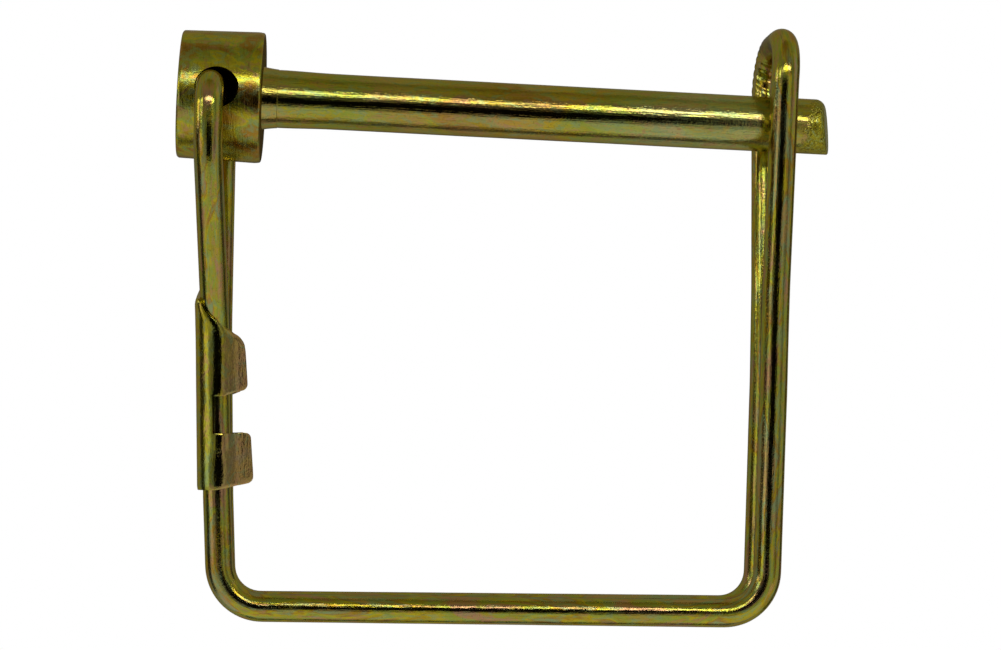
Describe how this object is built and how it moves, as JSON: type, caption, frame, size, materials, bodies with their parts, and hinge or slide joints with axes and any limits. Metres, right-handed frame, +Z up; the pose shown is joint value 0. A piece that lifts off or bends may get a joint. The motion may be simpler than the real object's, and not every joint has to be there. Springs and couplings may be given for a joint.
{
  "type": "square two-strand wire lock pin",
  "caption": "Headed steel lock pin with a square spring-wire bail that swings from its head and snaps over the free end; a folded sheet keeper ties the two strands.",
  "frame": {"origin": "on the pin's axis, at the head's shoulder face", "axes": "+X along the shank to its tip, +Z up with the bail closed below the shank and its arch above the tip, +Y to the far side"},
  "size_m": [0.0945, 0.0298, 0.0876],
  "materials": {
    "pin_plating": "yellow chromate zinc over turned steel",
    "bail_plating": "yellow chromate zinc over drawn spring wire",
    "clip_plating": "yellow chromate zinc over folded steel sheet"
  },
  "bodies": {
    "pin": {"pin": "pin_plating"},
    "bail": {"bail_wire": "bail_plating", "keeper_clip": "clip_plating"}
  },
  "joints": [
    {"name": "bail_swing", "type": "hinge", "parent": "pin", "child": "bail", "pos_m": [-0.00655, 0, 0.0002], "axis": [0, 1, 0], "range_deg": [0, 255], "deforming": ["bail_wire"]}
  ]
}
